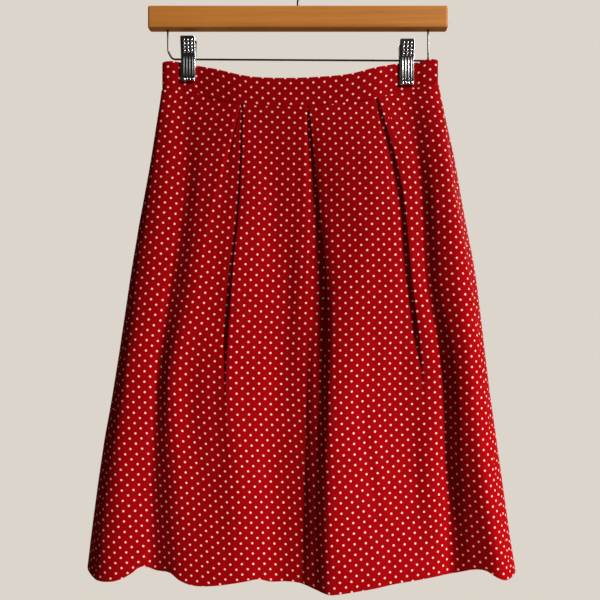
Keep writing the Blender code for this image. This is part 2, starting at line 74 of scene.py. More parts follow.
# Waistband section: the front layer, then the back layer.
BAND_FRONT = [
    # x,     y
    (-159.0, 0.0),
    (-157.0, -2.2),
    (-148.0, -3.0),
    (-139.5, -1.3),
    (-128.0, -1.2),
    (-116.0, -1.3),
    (-96.0, -4.6),
    (-66.0, -8.0),
    (-35.0, -9.0),
    (2.0, -9.4),
    (50.0, -9.0),
    (91.0, -7.8),
    (106.0, -3.6),
    (117.0, -1.2),
    (128.0, -1.2),
    (138.5, -1.3),
    (146.0, -2.7),
    (156.0, -3.2),
    (162.2, -2.3),
    (164.0, 0.0),
]
BAND_BACK = [
    # x,     y
    (162.2, 2.3),
    (156.0, 3.2),
    (146.0, 2.7),
    (138.5, 1.3),
    (128.0, 1.2),
    (117.0, 1.2),
    (104.0, 4.2),
    (81.0, 7.6),
    (47.0, 9.0),
    (2.0, 9.4),
    (-42.0, 9.0),
    (-77.0, 7.6),
    (-102.0, 4.0),
    (-116.0, 1.2),
    (-128.0, 1.2),
    (-139.5, 1.3),
    (-148.0, 3.0),
    (-157.0, 2.2),
]

# Heights of the table levels, as shares of the way from the waistband seam to the hem.
LEVELS = (0.0, 0.2, 0.4, 0.6, 0.8, 1.0)

# The skirt's loop. x is where the front view shows the row, y its true depth (front is -).
# A row ending in "_edge" is a pleat's fold edge and carries the fold of PLEATS.
LOOP_FRONT = [
    # row,            x at the six levels,            y at the six levels
    ("seam_left", (-159, -174, -192, -209, -226, -237), (0, -4, -6, -7, -7, -7)),
    ("left_roll", (-156, -168, -185, -202, -217, -227), (-2.5, -8, -11.5, -14.5, -14, -13)),
    ("left_flat", (-147, -158, -173, -190, -205, -213), (-2.9, -9.7, -14, -17, -16, -15)),
    ("left_fall", (-139, -141, -156, -174, -178, -181), (-1.6, -6, -11, -14.5, -10.5, -8.5)),
    ("left_valley", (-129, -131, -148, -164, -168, -169), (-1.2, -4.2, -8.5, -10, -8.5, -5)),
    ("left_rise", (-114, -115, -129, -150, -148, -142), (-2.0, -10, -18.4, -19.8, -17.8, -16)),
    ("A_side_edge", (-67, -97, -119, -143, -138, -128), (-8, -11.5, -19.6, -20.8, -19, -18)),
    ("A_plateau", (-66, -88, -106, -127, -118, -110), (-6.7, -9.6, -17.6, -17, -17.4, -18.6)),
    ("A_underlay", (-64.5, -79, -94, -103, -98, -92), (-6.8, -10.4, -15.6, -18.6, -18.6, -19.2)),
    ("A_centre_edge", (-63.4, -68, -78, -84, -80, -74), (-8.4, -13, -20, -21.6, -20.6, -19)),
    ("A_ridge", (-60, -63, -72, -76, -66, -58), (-8.6, -13.4, -20.2, -20.8, -20, -17.8)),
    ("mid_crown", (-49, -51, -55, -58, -50, -44), (-8.8, -11.6, -17, -16.4, -16.2, -14.5)),
    ("mid_fall", (-28, -30, -30, -34, -34, -32), (-9, -7.6, -11, -10.8, -11, -11)),
    ("mid_hollow", (-14, -12, -13, -18, -20, -22), (-9.2, -7.8, -9.6, -8.8, -9.6, -9.4)),
    ("mid_step", (0, 0, -1, -3, -4, -8), (-9.3, -8.3, -12.2, -10.2, -10.8, -10.8)),
    ("B_left_edge", (9.8, 9, 10, 7, 5, 2), (-9.2, -8.8, -12.8, -11.2, -12.8, -12.6)),
    ("B_underlay", (11.2, 16, 20, 16, 12, 10), (-7.5, -7.0, -12.4, -15.0, -16.8, -16.6)),
    ("B_right_edge", (12.6, 24.5, 34.5, 28, 20, 19), (-9.2, -11.6, -21, -20.4, -21.6, -21.8)),
    ("B_ridge", (17, 30, 39, 36, 34.5, 35), (-9.2, -13.9, -23.6, -26.8, -31, -31.4)),
    ("right_roll", (26, 38, 50, 47, 47, 49), (-9.2, -16.2, -26.4, -28.2, -31.2, -32)),
    ("right_flat", (49, 63, 70, 62, 60, 62), (-9, -20.2, -27.2, -27, -28.8, -30.6)),
    ("right_crease", (70, 81, 88, 82, 84, 90), (-8.6, -21, -25.6, -20.8, -22.6, -26.5)),
    ("right_fall", (80, 95, 104, 96, 103, 110), (-8.2, -19.8, -23.2, -18.2, -17.6, -23)),
    ("C_centre_edge", (90, 106, 116, 116, 121, 124), (-7.8, -18.2, -20.6, -13.8, -13, -20.5)),
    ("C_underlay", (91.6, 114, 125, 131, 137, 142), (-6.0, -14.2, -17.2, -11.8, -11.4, -16.5)),
    ("C_side_edge", (93.2, 121, 133, 147, 150, 156), (-7.6, -18, -21.6, -13, -12.6, -13)),
    ("C_ridge", (97, 125, 138, 157, 160, 165), (-7, -17.9, -21.4, -13.2, -11.4, -10)),
    ("clip_bulge", (117, 137, 145, 165, 167, 171), (-1.8, -15.2, -18.4, -11.6, -7.4, -6)),
    ("right_valley", (130, 142, 150, 170, 174, 178), (-1.2, -13.6, -16.6, -10.6, -4.2, -2.6)),
    ("right_rise", (147, 159, 168, 185, 193, 208), (-3.8, -22, -25.6, -21.8, -16.8, -15)),
    ("right_crest", (157, 176, 188, 203, 216, 237), (-4.0, -23, -28.8, -25.4, -24.4, -23.5)),
    ("seam_right", (164, 183, 202, 216, 231, 249), (0, -10, -14, -13, -12, -11)),
]
LOOP_BACK = [
    # row,          x at the six levels,            y at the six levels
    ("side_right", (162.2, 186, 205, 219, 234, 251), (2.3, 4, 8, 11, 14, 16)),
    ("back_roll_r", (156, 167, 185, 201, 215, 230), (3.2, 11, 17, 22, 26, 29)),
    ("back_fold_r", (138.5, 147, 158, 170, 184, 195), (1.3, 9, 16.5, 22, 27, 30)),
    ("back_dip_r", (117, 123, 130, 137, 147, 154), (1.2, 8, 14, 18, 21, 22)),
    ("back_swell_r", (81, 86, 93, 100, 105, 109), (7.6, 13.5, 20, 27, 31, 33)),
    ("back_hollow_r", (47, 49, 51, 53, 56, 58), (9, 13, 18, 22, 25, 27)),
    ("back_middle", (2, 2, 2, 2, 2, 2), (9.4, 14, 21, 28, 31, 34)),
    ("back_hollow_l", (-42, -44, -47, -49, -51, -53), (9, 13, 18, 23, 27, 29)),
    ("back_swell_l", (-77, -79, -84, -88, -93, -100), (7.6, 13.5, 20, 26, 30, 33)),
    ("back_dip_l", (-116, -119, -126, -133, -140, -149), (1.2, 8, 14, 19, 22, 24)),
    ("back_fold_l", (-139.5, -142, -154, -165, -179, -191), (1.3, 9, 17, 23, 28, 31)),
    ("back_roll_l", (-149, -160, -177, -191, -207, -221), (2.8, 11, 18, 23, 27, 30)),
    ("side_left", (-157, -176, -195, -212, -230, -244), (2.2, 4.5, 9, 13, 16, 19)),
]

# The folds on the pleats' edges: how far the edge lies over the underlay, and how far the
# cloth turns back there (180 lies flat under the panel, under 90 is an open step).
PLEATS = {
    # edge:         overlap at the six levels,      turn at the six levels
    "A_side_edge": ((1.4, 1.0, 0.8, 0.6, 0.6, 0.6), (96, 30, 10, 3, 3, 3)),
    "A_centre_edge": ((8, 6, 3, 0.8, 0.6, 0.6), (180, 180, 150, 24, 3, 3)),
    "B_left_edge": ((1.4, 1.0, 0.8, 0.6, 0.6, 0.6), (92, 22, 12, 4, 3, 3)),
    "B_right_edge": ((8, 6, 3, 1, 0.6, 0.6), (180, 180, 140, 50, 6, 3)),
    "C_centre_edge": ((1.4, 1.2, 1, 0.8, 0.6, 0.6), (100, 40, 26, 14, 4, 3)),
    "C_side_edge": ((8, 6, 5, 0.8, 0.6, 0.6), (180, 180, 172, 26, 4, 3)),
}
EDGES_FACING_RIGHT = ("A_side_edge", "B_left_edge", "C_centre_edge")

# The hem as the front view shows it: x and z where the line of sight meets the bar's front.
HEM_SEEN = [
    # x,     z
    (-244.6, -717.1),
    (-240.2, -724.5),
    (-218.6, -730.8),
    (-197.7, -723.6),
    (-182.6, -713.0),
    (-162.8, -717.7),
    (-148.9, -720.5),
    (-138.4, -729.0),
    (-123.3, -735.0),
    (-102.3, -736.0),
    (-60.5, -730.8),
    (-45.9, -728.0),
    (-33.1, -730.4),
    (-11.6, -730.2),
    (3.5, -732.4),
    (18.6, -739.2),
    (36.1, -746.5),
    (45.4, -746.2),
    (87.2, -739.2),
    (111.6, -734.0),
    (146.5, -727.6),
    (182.6, -720.4),
    (217.5, -717.8),
    (231.4, -726.2),
    (241.9, -729.1),
    (252.4, -723.4),
]
EDGES_FACING_RIGHT = ("A_side_edge", "B_left_edge", "C_centre_edge")

BEND_STEPS = 5
OPEN_STEPS, FOLD_STEPS = 5, 1
ROWS = 150
BAND_STEPS, BAND_ROWS = 8, 26

# Creases that the sections don't hold: soft troughs (+) and ridges (-), each from its top to
# its bottom point as seen from the front, with its half width and its depth.
CREASES = [
    # x0,   z0,   x1,   z1,  width, depth
    (-88, -215, -120, -330, 9, 0.7),
    (-108, -240, -128, -330, 6, -0.6),
    (-30, -215, -34, -420, 8, 0.5),
    (6, -200, 4, -330, 5, -0.4),
    (62, -190, 84, -330, 9, 0.7),
    (40, -190, 48, -300, 7, -0.5),
    (112, -180, 128, -260, 6, -0.8),
    (100, -190, 104, -300, 6, 0.6),
    (150, -190, 172, -330, 7, 0.6),
    (-150, -180, -166, -300, 7, 0.6),
    (-96, -470, -90, -600, 9, 0.8),
    (-40, -430, -52, -610, 12, -0.7),
    (62, -470, 96, -700, 6, 0.9),
    (74, -470, 108, -700, 6, -0.7),
    (130, -520, 140, -700, 9, 0.7),
    (-190, -430, -214, -640, 8, -0.6),
    (206, -470, 222, -640, 8, 0.7),
]

# The same for the back, which the photo hides: long soft folds falling from the waistband.
BACK_CREASES = [
    # x0,   z0,   x1,   z1,  width, depth
    (-118, -175, -150, -420, 9, 4.0),
    (-100, -190, -122, -330, 8, -2.2),
    (-62, -185, -74, -560, 10, 4.7),
    (-38, -200, -46, -380, 7, -1.8),
    (-18, -185, -16, -300, 6, 1.6),
    (24, -185, 34, -640, 11, 4.3),
    (52, -230, 62, -480, 9, -2.7),
    (94, -180, 112, -520, 10, 4.7),
    (128, -180, 160, -360, 9, 3.2),
    (150, -360, 178, -690, 10, -2.9),
    (-150, -400, -176, -690, 11, 3.6),
    (-104, -430, -112, -700, 12, -3.2),
    (-8, -420, -12, -700, 12, 2.9),
    (78, -470, 84, -700, 10, 3.1),
]


# ---------------------------------------------------------------- curves
def through(xs, ys, x):
    """A smooth curve through the points (xs, ys), read at x. Tangents are the mean slopes."""
    xs, ys = np.asarray(xs, float), np.asarray(ys, float)
    slopes = np.diff(ys) / np.diff(xs)
    tangent = np.concatenate([[slopes[0]], (slopes[1:] + slopes[:-1]) / 2, [slopes[-1]]])
    x = np.clip(x, xs[0], xs[-1])
    i = np.clip(np.searchsorted(xs, x, side="right") - 1, 0, len(xs) - 2)
    h = xs[i + 1] - xs[i]
    t = (x - xs[i]) / h
    return (
        (2 * t**3 - 3 * t**2 + 1) * ys[i]
        + (t**3 - 2 * t**2 + t) * h * tangent[i]
        + (3 * t**2 - 2 * t**3) * ys[i + 1]
        + (t**3 - t**2) * h * tangent[i + 1]
    )


def at_level(values, v):
    return float(through(LEVELS, values, v))


def true_x(seen, y):
    """Where a point at depth y really is, when the front view shows it at x = seen."""
    return VIEW_X + (seen - VIEW_X) * (VIEW_FROM + y) / VIEW_PLANE


def waist_top(x):
    rows = np.array(WAIST)
    return through(rows[:, 0], rows[:, 1], x)


def seam_z(x):
    rows = np.array(WAIST)
    return through(rows[:, 0], rows[:, 2], x)


def hem_z(x):
    return -HEM_DEPTH + HEM_RISE * ((x - HEM_LOW_X) / HEM_REACH) ** 2


def seen_hem_z(x, y):
    """The hem's true height at a point of the front."""
    rows = np.array(HEM_SEEN)
    share = (VIEW_FROM + y) / VIEW_PLANE
    seen = VIEW_X + (x - VIEW_X) / share
    return VIEW_Z + (through(rows[:, 0], rows[:, 1], seen) - VIEW_Z) * share


def fold(overlap, turn, slope):
    """Centre line of one pleat edge that faces right. Its edge is at x = 0. As the pleat opens
    out the edge softens, and the stretch takes the slope of the cloth round it."""
    share = turn / 180
    turn = math.radians(turn)
    bend = math.pi * FOLD_R * (1 + 3.2 * share * (1 - share))
    lean = slope * min(max(1 - share * 3, 0), 1) ** 2
    points, heading, x, y = [(0.0, 0.0)], 0.0, 0.0, 0.0
    for sign in (1, -1):
        for _ in range(BEND_STEPS):
            half = sign * turn / BEND_STEPS / 2
            chord = bend / BEND_STEPS * (math.sin(half) / half)
            heading += half
            x, y = x + chord * math.cos(heading), y + chord * math.sin(heading)
            heading += half
            points.append((x, y))
        if sign == 1:
            run = max(overlap - 2 * FOLD_R, 0.6)
            x, y = x + run * math.cos(heading), y + run * math.sin(heading)
            points.append((x, y))
    middle = points[BEND_STEPS // 2][0]
    points = [(px - middle, py) for px, py in points]
    c, s = math.cos(lean), math.sin(lean)
    return [(c * px - s * py, s * px + c * py) for px, py in points]


def control_points(v):
    """The loop's control points at level v, with a flag on each that starts a folded stretch,
    and the place of the centre panel's crown among them."""
    points, folded, crown = [], [], 0
    rows = LOOP_FRONT + LOOP_BACK
    for place, (name, xs, ys) in enumerate(rows):
        if name == "mid_crown":
            crown = len(points)
        y = at_level(ys, v)
        x = true_x(at_level(xs, v), y)
        if name in PLEATS:
            overlap, turn = (at_level(column, v) for column in PLEATS[name])
            y0, y1 = (at_level(rows[place + k][2], v) for k in (-1, 1))
            x0, x1 = (at_level(rows[place + k][1], v) for k in (-1, 1))
            slope = math.atan2(y1 - y0, max(x1 - x0, 1.0))
            shape = fold(overlap, turn, slope if name in EDGES_FACING_RIGHT else -slope)
            if name not in EDGES_FACING_RIGHT:
                shape = [(-px, py) for px, py in reversed(shape)]
            points += [(x + px, y + py) for px, py in shape]
            folded += [True] * (len(shape) - 1) + [False]
        else:
            points.append((x, y))
            folded.append(False)
    return np.array(points), folded, crown


def closed_curve(points, steps, marks):
    """A smooth closed curve through the points, with steps[i] chords after point i. Returns it
    and the new indices of the marked points."""
    count, fine, found = len(points), [], []
    for i in range(count):
        if i in marks:
            found.append(sum(len(f) for f in fine))
        p0, p1, p2, p3 = (points[(i + k) % count] for k in (-1, 0, 1, 2))
        d01, d12, d23 = (
            max(math.dist(a, b), 1e-6) ** 0.5 for a, b in ((p0, p1), (p1, p2), (p2, p3))
        )
        m1 = ((p1 - p0) / d01 - (p2 - p0) / (d01 + d12) + (p2 - p1) / d12) * d12
        m2 = ((p2 - p1) / d12 - (p3 - p1) / (d12 + d23) + (p3 - p2) / d23) * d12
        t = (np.arange(steps[i]) / steps[i])[:, None]
        fine.append(
            (2 * t**3 - 3 * t**2 + 1) * p1
            + (t**3 - 2 * t**2 + t) * m1
            + (3 * t**2 - 2 * t**3) * p2
            + (t**3 - t**2) * m2
        )
    return np.concatenate(fine), found


def outward(section):
    """Unit normals of a closed section that runs front left to right, back right to left."""
    along = np.roll(section, -1, axis=0) - np.roll(section, 1, axis=0)
    along /= np.linalg.norm(along, axis=1)[:, None]
    return np.stack([along[:, 1], -along[:, 0]], axis=1)


def stretch(section, normals, start, end):
    """The part of a closed section from one seam to the next."""
    count = len(section)
    index = [(start + k) % count for k in range((end - start) % count + 1)]
    return section[index].copy(), normals[index].copy()


# ---------------------------------------------------------------- cloth
def flat_map(grid, start):
    """Where each point of the cloth lies when it is spread flat, in mm, marching out from the
    start column with true lengths along and across."""
    rows, columns = grid.shape[:2]
    flat = np.zeros((rows, columns, 2))
    down = np.linalg.norm(np.diff(grid[:, start], axis=0), axis=1)
    flat[1:, start, 1] = -np.cumsum(down)

    def spread(here, there):
        along3 = np.gradient(grid[:, here], axis=0)
        length3 = np.linalg.norm(along3, axis=1)[:, None]
        step = grid[:, there] - grid[:, here]
        a = (step * along3 / length3).sum(axis=1)
        b = np.sqrt(np.maximum((step**2).sum(axis=1) - a**2, 0))
        along2 = np.gradient(flat[:, here], axis=0)
        along2 /= np.linalg.norm(along2, axis=1)[:, None]
        across = np.stack([-along2[:, 1], along2[:, 0]], axis=1) * (1 if there > here else -1)
        new = flat[:, here] + a[:, None] * along2 + b[:, None] * across
        # keep the true spacing down the cloth
        steps = np.diff(new, axis=0)
        want = np.linalg.norm(np.diff(grid[:, there], axis=0), axis=1)
        have = np.maximum(np.linalg.norm(steps, axis=1), 1e-6)
        ratio = 1 + 0.6 * (want / have - 1)
        kernel = np.ones(9) / 9
        ratio = np.convolve(np.pad(ratio, 4, mode="edge"), kernel, mode="valid")
        steps *= ratio[:, None]
        middle = rows // 3
        line = np.concatenate([[np.zeros(2)], np.cumsum(steps, axis=0)])
        line += new[middle] - line[middle]
        smooth = np.pad(line, ((2, 2), (0, 0)), mode="reflect", reflect_type="odd")
        line = sum(smooth[k : k + rows] for k in range(5)) / 5
        return line

    for c in range(start + 1, columns):
        flat[:, c] = spread(c - 1, c)
    for c in range(start - 1, -1, -1):
        flat[:, c] = spread(c + 1, c)
    return flat


def cloth_piece(name, grid, normals, thickness, flat, material, node, rounding=None):
    """A closed thin shell round a grid of centre points, rows down and columns along, with the
    flat cloth as its UV map. rounding gives each point its share of the full thickness."""
    rows, columns = grid.shape[:2]
    half = normals * (thickness / 2)
    if rounding is not None:
        half = half * rounding[..., None]
    sides = np.stack([grid + half, grid - half]) * MM
    index = np.arange(2 * rows * columns).reshape(2, rows, columns)
    out, inn = index
    faces = []

    def quads(a, b, c, d):
        faces.append(np.stack([a.ravel(), b.ravel(), c.ravel(), d.ravel()], axis=1))

    quads(out[:-1, :-1], out[1:, :-1], out[1:, 1:], out[:-1, 1:])
    quads(inn[:-1, :-1], inn[:-1, 1:], inn[1:, 1:], inn[1:, :-1])
    quads(out[0, :-1], out[0, 1:], inn[0, 1:], inn[0, :-1])
    quads(out[-1, :-1], inn[-1, :-1], inn[-1, 1:], out[-1, 1:])
    quads(out[:-1, 0], inn[:-1, 0], inn[1:, 0], out[1:, 0])
    quads(out[:-1, -1], out[1:, -1], inn[1:, -1], inn[:-1, -1])
    faces = np.concatenate(faces)
    data = bpy.data.meshes.new(name)
    data.from_pydata(sides.reshape(-1, 3).tolist(), [], faces.tolist())
    uv = np.tile(flat.reshape(-1, 2), (2, 1)) * MM
    loops = np.empty(len(data.loops), np.int32)
    data.loops.foreach_get("vertex_index", loops)
    layer = data.uv_layers.new(name="cloth")
    layer.data.foreach_set("uv", uv[loops].astype(np.float32).ravel())
    data.shade_smooth()
    data.set_sharp_from_angle(angle=math.radians(70))
    data.materials.append(material)
    data.validate()
    piece = bpy.data.objects.new(name, data)
    bpy.context.scene.collection.objects.link(piece)
    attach(piece, "root")
    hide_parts(node)
    return piece


def crease_field(points, table):
    """How far the table's creases push each point in, mm."""
    x, z = points[..., 0], points[..., 2]
    depth = np.zeros(x.shape)
    for x0, z0, x1, z1, width, deep in table:
        t = (z - z0) / (z1 - z0)
        window = np.clip(np.minimum(t, 1 - t) * 3.2, 0, 1)
        window = window * window * (3 - 2 * window)
        off = x - (x0 + (x1 - x0) * t)
        depth += deep * window * np.exp(-((off / width) ** 2))
    return depth


def ripple(points, seed, across, down, size):
    """Small unevenness of hanging cloth, longer down than across, mm."""
    out = np.zeros(points.shape[:2])
    for r in range(points.shape[0]):
        for c in range(points.shape[1]):
            p = points[r, c]
            out[r, c] = noise.noise(Vector((p[0] / across, p[1] / across + seed, p[2] / down)))
    return out * size


def skirt(material):
    tops = (np.arange(ROWS) / (ROWS - 1)) ** 0.96
    parts = {"front": ([], []), "back": ([], [])}
    for v in tops:
        points, folded, crown = control_points(v)
        steps = [FOLD_STEPS if f else OPEN_STEPS for f in folded]
        crown = sum(steps[:crown])
        marks = (0, len(points) - len(LOOP_BACK) - 1)
        section, (left, right) = closed_curve(points, steps, marks)
        normals = outward(section)
        for name, start, end in (("front", left, right), ("back", right, left)):
            part, normal = stretch(section, normals, start, end)
            top = seam_z(part[:, 0]) + 0.35
            if name == "front":
                low = seen_hem_z(part[:, 0], part[:, 1])
                corners = low[-1], low[0]
            else:
                # the back's hem meets the front's at both seams
                low = hem_z(part[:, 0])
                t = np.linspace(0, 1, len(part))
                low += (corners[0] - low[0]) * np.exp(-t * 9) + (corners[1] - low[-1]) * np.exp((t - 1) * 9)
            z = top + (low - top) * v
            parts[name][0].append(np.column_stack([part, z]))
            parts[name][1].append(np.column_stack([normal, np.zeros(len(normal))]))
    made = {}
    for name, (grid, normal) in parts.items():
        grid, normal = np.array(grid), np.array(normal)
        # true normals, for cloth that also leans
        dr = np.gradient(grid, axis=0)
        dc = np.gradient(grid, axis=1)
        full = np.cross(dc, dr)
        full /= np.linalg.norm(full, axis=2)[..., None]
        full *= np.sign((full * normal).sum(axis=2))[..., None]
        flat = flat_map(grid, grid.shape[1] // 2 if name == "back" else crown)
        arc = np.concatenate(
            [np.zeros((len(grid), 1)), np.cumsum(np.linalg.norm(np.diff(grid, axis=1), axis=2), axis=1)],
            axis=1,
        )
        to_side = np.minimum(arc, arc[:, -1:] - arc)
        v = np.linspace(0, 1, len(grid))[:, None]
        calm = np.clip(to_side / 12, 0, 1) * np.clip(v * 8, 0, 1)
        push = crease_field(grid, CREASES if name == "front" else BACK_CREASES) * calm
        push = push + ripple(grid, 3.1 if name == "front" else 9.4, 26, 95, 0.9) * calm
        push = push + ripple(grid, 5.7, 11, 30, 0.22) * calm
        push = push + 0.55 * np.exp(-((to_side / 1.4) ** 2))
        grid = grid - full * push[..., None]
        down = (v * 570.0) * np.ones_like(arc)
        rounding = np.clip((570.0 - down) / 1.5, 0.35, 1)
        print(name, "flat width at seam %.0f, hem %.0f, length %.0f mm" % (
            arc[0, -1], arc[-1, -1], np.linalg.norm(np.diff(grid[:, grid.shape[1] // 2], axis=0), axis=1).sum()))
        piece = cloth_piece(
            f"skirt_{name}", grid, full, CLOTH_T, flat, material, f"{name}_panel", rounding
        )
        made[name] = piece
    return made


def bands(material):
    points = np.array(BAND_FRONT + BAND_BACK, float)
    section, (left, right) = closed_curve(
        points, [BAND_STEPS] * len(points), (0, len(BAND_FRONT) - 1)
    )
    normals = outward(section)
    for name, start, end in (("front", left, right), ("back", right, left)):
        part, normal = stretch(section, normals, start, end)
        arc = np.concatenate([[0], np.cumsum(np.linalg.norm(np.diff(part, axis=0), axis=1))])
        to_side = np.minimum(arc, arc[-1] - arc)
        part = part - normal * (0.35 * np.exp(-((to_side / 1.2) ** 2)))[:, None]
        top, bottom = waist_top(part[:, 0]), seam_z(part[:, 0]) + 0.05
        shares = 0.5 - 0.5 * np.cos(np.linspace(0, math.pi, BAND_ROWS))
        shares = 0.55 * shares + 0.45 * np.linspace(0, 1, BAND_ROWS)
        grid = np.array([np.column_stack([part, top + (bottom - top) * s]) for s in shares])
        full = np.repeat(np.column_stack([normal, 0 * arc])[None], BAND_ROWS, axis=0)
        down = (top - bottom)[None] * shares[:, None]
        up = (top - bottom)[None] - down
        rounding = np.sqrt(np.clip(1 - (1 - np.clip(down / 1.1, 0, 1)) ** 2, 0.04, 1))
        rounding *= np.sqrt(np.clip(1 - 0.6 * (1 - np.clip(up / 0.4, 0, 1)) ** 2, 0.04, 1))
        calm = np.clip(to_side / 10, 0, 1)[None] * np.ones_like(down)
        gripped = np.minimum(np.abs(part[:, 0] + 128.4), np.abs(part[:, 0] - 127.0))
        calm = calm * np.clip((gripped - 9) / 8, 0, 1)[None]
        push = ripple(grid, 2.2 if name == "front" else 7.2, 16, 60, 0.35) * calm
        grid = grid - full * push[..., None]
        flat = np.stack([np.repeat((arc - arc[-1] / 2)[None], BAND_ROWS, axis=0) + 4.0, -down], axis=2)
        piece = cloth_piece(
            f"band_{name}", grid, full, BAND_T, flat, material, f"waistband_{name}", rounding
        )


# ---------------------------------------------------------------- materials
def new_material(name):
    material = bpy.data.materials.new(name)
    material.use_nodes = True
    nodes, links = material.node_tree.nodes, material.node_tree.links
    return material, nodes, links, nodes["Principled BSDF"]


def math_node(nodes, links, operation, a, b=None, c=None, clamp=False):
    node = nodes.new("ShaderNodeMath")
    node.operation = operation
    node.use_clamp = clamp
    for socket, value in zip(node.inputs, (a, b, c)):
        if value is None:
            continue
        if isinstance(value, (int, float)):
            socket.default_value = value
        else:
            links.new(value, socket)
    return node.outputs[0]


def noise_node(nodes, links, vector, scale, detail=2.0, roughness=0.5):
    node = nodes.new("ShaderNodeTexNoise")
    node.inputs["Scale"].default_value = scale
    node.inputs["Detail"].default_value = detail
    node.inputs["Roughness"].default_value = roughness
    links.new(vector, node.inputs["Vector"])
    return node.outputs["Fac"]


def mixed(nodes, links, factor, a, b, blend="MIX"):
    node = nodes.new("ShaderNodeMix")
    node.data_type = "RGBA"
    node.blend_type = blend
    if isinstance(factor, (int, float)):
        node.inputs["Factor"].default_value = factor
    else:
        links.new(factor, node.inputs["Factor"])
    for socket, value in ((node.inputs["A"], a), (node.inputs["B"], b)):
        if isinstance(value, tuple):
            socket.default_value = (*value, 1.0)
        else:
            links.new(value, socket)
    return node.outputs["Result"]


def ranged(nodes, links, value, low, high, to_low, to_high, smooth=False):
    node = nodes.new("ShaderNodeMapRange")
    node.interpolation_type = "SMOOTHSTEP" if smooth else "LINEAR"
    links.new(value, node.inputs["Value"])
    for socket, number in zip(
        ("From Min", "From Max", "To Min", "To Max"), (low, high, to_low, to_high)
    ):
        node.inputs[socket].default_value = number
    return node.outputs["Result"]


DOT_PITCH_X, DOT_PITCH_Y, DOT_R = 0.0131, 0.0119, 0.00122


def crepe():
    """Dotted crepe: a half-drop lattice of small dots on the flat cloth, pebbled and matt."""
    material, nodes, links, shader = new_material("dotted_crepe")
    uv = nodes.new("ShaderNodeUVMap")
    uv.uv_map = "cloth"
    spot = uv.outputs["UV"]
    # the print wanders a little
    wobble = nodes.new("ShaderNodeTexNoise")
    wobble.inputs["Scale"].default_value = 45.0
    wobble.inputs["Detail"].default_value = 1.0
    links.new(spot, wobble.inputs["Vector"])
    shift = nodes.new("ShaderNodeVectorMath")
    shift.operation = "MULTIPLY_ADD"
    links.new(wobble.outputs["Color"], shift.inputs[0])
    shift.inputs[1].default_value = (0.0011, 0.0011, 0.0)
    links.new(spot, shift.inputs[2])
    split = nodes.new("ShaderNodeSeparateXYZ")
    links.new(shift.outputs[0], split.inputs[0])
    distances = []
    for drop in (0.0, 0.5):
        squares = []
        for axis, pitch in (("X", DOT_PITCH_X), ("Y", DOT_PITCH_Y)):
            cell = math_node(nodes, links, "MULTIPLY_ADD", split.outputs[axis], 1 / pitch, drop)
            cell = math_node(nodes, links, "FRACT", cell)
            off = math_node(nodes, links, "MULTIPLY_ADD", cell, pitch, -pitch / 2)
            squares.append(math_node(nodes, links, "MULTIPLY", off, off))
        distances.append(math_node(nodes, links, "ADD", *squares))
    nearest = math_node(nodes, links, "MINIMUM", *distances)
    radius = math_node(nodes, links, "SQRT", nearest)
    ragged = noise_node(nodes, links, spot, 1500.0, 1.0)
    radius = math_node(nodes, links, "MULTIPLY_ADD", ragged, 0.0005, radius)
    dots = ranged(nodes, links, radius, DOT_R + 0.00045, DOT_R - 0.00005, 0.0, 1.0, smooth=True)

    pebble = noise_node(nodes, links, spot, 1300.0, 2.0, 0.6)
    mottle = noise_node(nodes, links, spot, 60.0, 3.0, 0.55)
    red = mixed(nodes, links, pebble, (0.195, 0.0004, 0.0013), (0.315, 0.0009, 0.0029))
    red = mixed(
        nodes, links, ranged(nodes, links, mottle, 0.35, 0.65, 0.0, 0.35), red, (0.20, 0.0005, 0.0014)
    )
    cream = mixed(nodes, links, pebble, (0.93, 0.40, 0.345), (0.98, 0.57, 0.51))
    colour = mixed(nodes, links, dots, red, cream)
    links.new(colour, shader.inputs["Base Color"])
    links.new(ranged(nodes, links, mottle, 0.3, 0.7, 0.74, 0.88), shader.inputs["Roughness"])
    shader.inputs["Specular IOR Level"].default_value = 0.02
    shader.inputs["Sheen Weight"].default_value = 0.02
    shader.inputs["Sheen Roughness"].default_value = 0.5
    shader.inputs["Sheen Tint"].default_value = (1.0, 0.08, 0.08, 1.0)
    bump = nodes.new("ShaderNodeBump")
    bump.inputs["Strength"].default_value = 0.35
    bump.inputs["Distance"].default_value = 0.0003
    links.new(pebble, bump.inputs["Height"])
    links.new(bump.outputs["Normal"], shader.inputs["Normal"])
    return material


